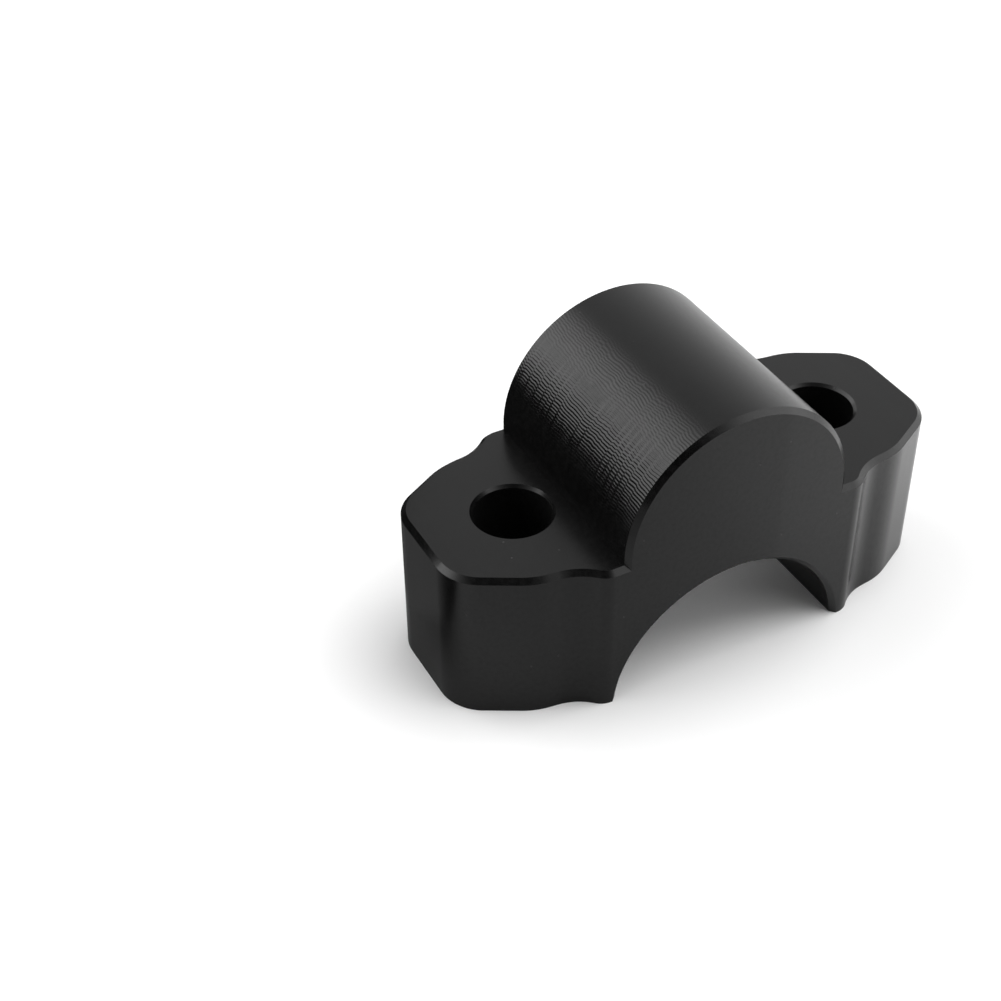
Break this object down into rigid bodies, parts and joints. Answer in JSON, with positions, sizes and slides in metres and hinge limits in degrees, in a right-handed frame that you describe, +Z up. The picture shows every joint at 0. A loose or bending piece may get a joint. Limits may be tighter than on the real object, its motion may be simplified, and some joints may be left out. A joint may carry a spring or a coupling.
{
  "type": "motorcycle handlebar riser block",
  "caption": "Machined handlebar riser block: a round hump above, a half-round bar saddle below and an ear with a bolt hole at each end.",
  "frame": {"origin": "middle of the footprint, on the plane that both feet stand on", "axes": "+X from ear to ear, +Y along the handlebar, +Z up from the feet towards the hump"},
  "size_m": [0.0636, 0.0286, 0.0347],
  "materials": {
    "black_anodised": "black anodised, satin, as milled"
  },
  "bodies": {
    "root": {"riser_block": "black_anodised"}
  },
  "joints": []
}
